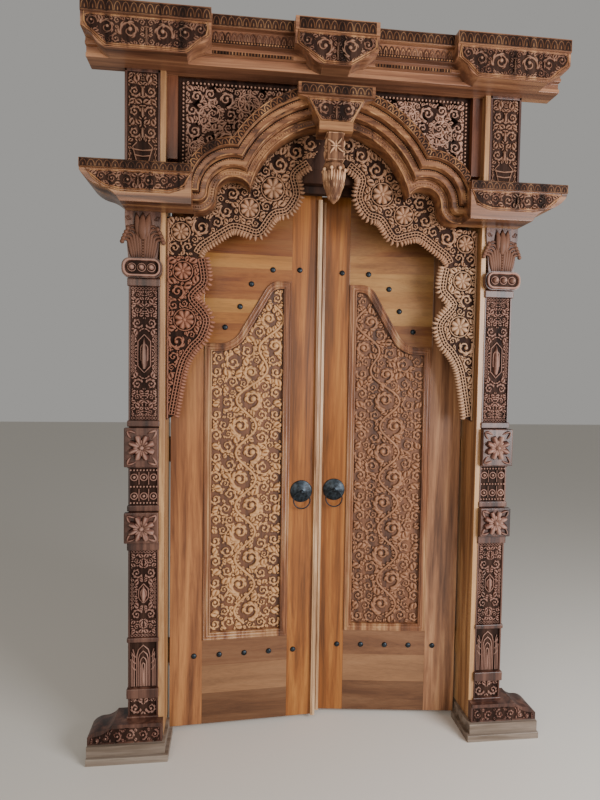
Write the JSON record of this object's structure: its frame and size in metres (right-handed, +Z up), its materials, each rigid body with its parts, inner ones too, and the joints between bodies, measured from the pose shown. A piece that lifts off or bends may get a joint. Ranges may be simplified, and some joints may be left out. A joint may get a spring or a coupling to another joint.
{
  "type": "carved double door",
  "caption": "Carved teak temple doorway: two ajar panelled leaves with iron ring pulls, carved posts, scalloped filigree boards, ogee hood and a stepped cornice",
  "frame": {"origin": "on the floor, at the middle of the whole doorway's plan as it stands with both leaves ajar", "axes": "+X runs across the doorway to its right as seen from the front, +Y runs away from the viewer through the doorway into the wall, +Z is up"},
  "size_m": [1.696, 0.3586, 2.6],
  "materials": {
    "dark_teak": "satin",
    "gold_teak": "satin",
    "brown_teak": "satin",
    "iron": "matt"
  },
  "bodies": {
    "frame": {"arch_left": "dark_teak", "arch_right": "dark_teak", "base_block_left": "dark_teak", "base_block_right": "dark_teak", "bracket_left": "gold_teak", "bracket_right": "gold_teak", "capital_left": "gold_teak", "capital_right": "gold_teak", "collar_left": "dark_teak", "collar_right": "dark_teak", "column_left": "dark_teak", "column_right": "dark_teak", "cornice": "dark_teak", "cornice_break_centre": "dark_teak", "cornice_break_left": "dark_teak", "cornice_break_right": "dark_teak", "door_head": "dark_teak", "hinge_pins": "iron", "jamb_hinges": "iron", "jamb_left": "gold_teak", "jamb_right": "gold_teak", "keystone": "gold_teak", "pendant": "gold_teak", "pilaster_left": "dark_teak", "pilaster_right": "dark_teak", "plinth_left": "gold_teak", "plinth_right": "gold_teak", "rosettes_left": "dark_teak", "rosettes_right": "dark_teak", "spandrel_left": "gold_teak", "spandrel_right": "gold_teak", "transom_backing": "dark_teak", "transom_fretwork": "dark_teak", "transom_rail": "dark_teak", "transom_stile_left": "dark_teak", "transom_stile_right": "dark_teak", "wing_left": "dark_teak", "wing_right": "dark_teak"},
    "leaf_left": {"bottom_rail_left": "brown_teak", "carved_panel_left": "gold_teak", "cover_strip_left": "brown_teak", "hinge_stile_left": "brown_teak", "leaf_hinges_left": "iron", "meeting_stile_left": "brown_teak", "panel_moulding_left": "brown_teak", "pull_plate_left": "iron", "studs_left": "iron", "top_rail_left": "brown_teak"},
    "leaf_right": {"bottom_rail_right": "brown_teak", "carved_panel_right": "gold_teak", "cover_strip_right": "brown_teak", "hinge_stile_right": "brown_teak", "leaf_hinges_right": "iron", "meeting_stile_right": "brown_teak", "panel_moulding_right": "brown_teak", "pull_plate_right": "iron", "studs_right": "iron", "top_rail_right": "brown_teak"},
    "ring_left": {"ring_left": "iron"},
    "ring_right": {"ring_right": "iron"}
  },
  "joints": [
    {"name": "leaf_left_hinge", "type": "hinge", "parent": "frame", "child": "leaf_left", "pos_m": [-0.5825, 0.11803, 1.05], "axis": [0, 0, 1], "range_deg": [-3.5, 96.5]},
    {"name": "leaf_right_hinge", "type": "hinge", "parent": "frame", "child": "leaf_right", "pos_m": [0.5825, 0.11803, 1.05], "axis": [0, 0, -1], "range_deg": [-6.8, 93.2]},
    {"name": "ring_left_hinge", "type": "hinge", "parent": "leaf_left", "child": "ring_left", "pos_m": [-0.06778, 0.08108, 0.933], "axis": [-0.9981, -0.061, 0], "range_deg": [0, 150]},
    {"name": "ring_right_hinge", "type": "hinge", "parent": "leaf_right", "child": "ring_right", "pos_m": [0.06651, 0.11077, 0.933], "axis": [-0.993, 0.1184, 0], "range_deg": [0, 150]}
  ]
}
